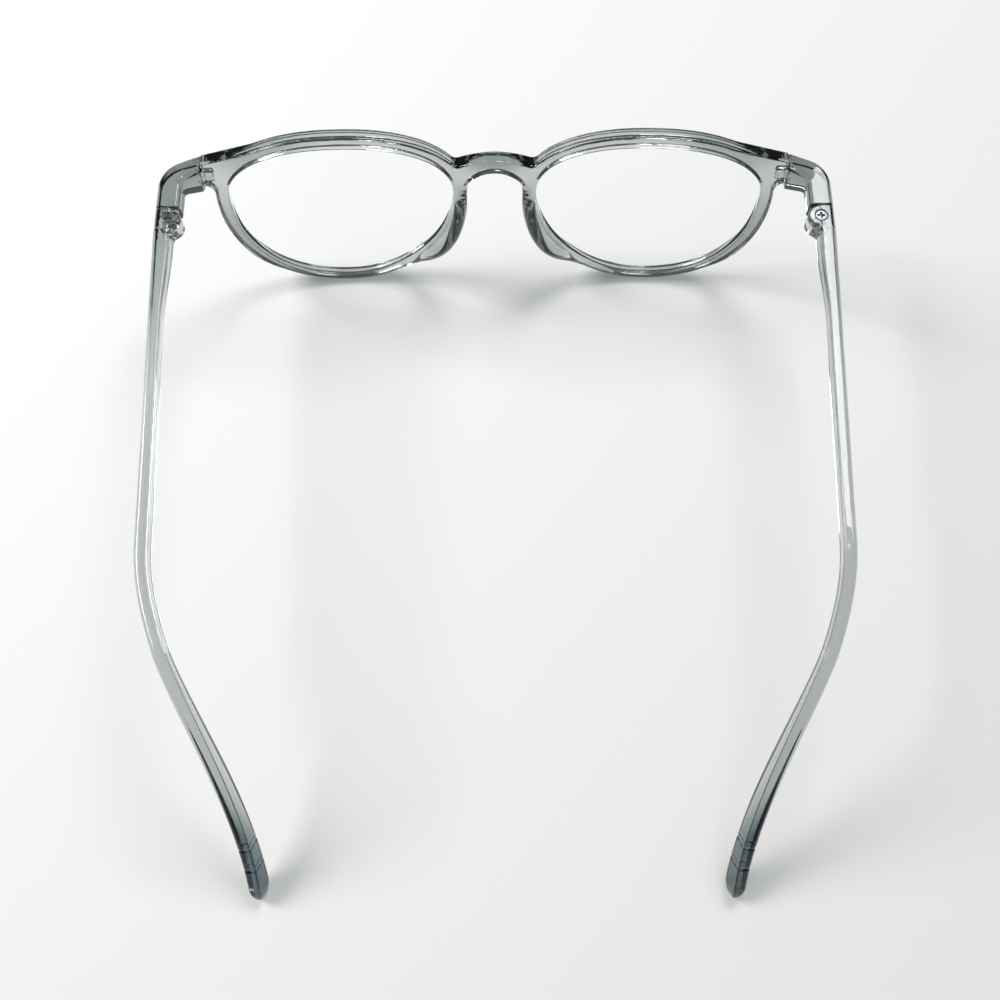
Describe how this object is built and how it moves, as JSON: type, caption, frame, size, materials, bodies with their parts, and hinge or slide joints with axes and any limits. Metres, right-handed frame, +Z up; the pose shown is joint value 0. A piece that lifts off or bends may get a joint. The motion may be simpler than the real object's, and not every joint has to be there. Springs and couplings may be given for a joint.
{
  "type": "computer glasses",
  "caption": "See-through grey plastic computer glasses with rounded lenses, moulded nose pads and folding temples with hooked-in tips on screwed barrel hinges.",
  "frame": {"origin": "middle of the base of the bounding box, on the surface that the open glasses stand on", "axes": "+Z up; the front faces -Y and the temples run back to +Y; +X is towards the wearer's left"},
  "size_m": [0.1384, 0.1472, 0.045],
  "materials": {
    "front_plastic": "clear smoke grey, polished",
    "end_plastic": "clear smoke grey, polished",
    "temple_plastic": "clear smoke grey, polished",
    "lens": "clear, polished",
    "screw_steel": "dark, machined",
    "insert_brass": "machined"
  },
  "bodies": {
    "front": {"frame_front": "front_plastic", "left_end_piece": "end_plastic", "right_end_piece": "end_plastic", "left_lens": "lens", "right_lens": "lens"},
    "left_side": {"left_temple": "temple_plastic", "left_hinge_screw": "screw_steel", "left_threaded_insert": "insert_brass"},
    "right_side": {"right_temple": "temple_plastic", "right_hinge_screw": "screw_steel", "right_threaded_insert": "insert_brass"}
  },
  "joints": [
    {"name": "left_fold", "type": "hinge", "parent": "front", "child": "left_side", "pos_m": [0.0664, -0.05658, 0.0358], "axis": [0, 0, 1], "range_deg": [0, 83]},
    {"name": "right_fold", "type": "hinge", "parent": "front", "child": "right_side", "pos_m": [-0.0664, -0.05658, 0.0358], "axis": [0, 0, -1], "range_deg": [0, 77]}
  ]
}
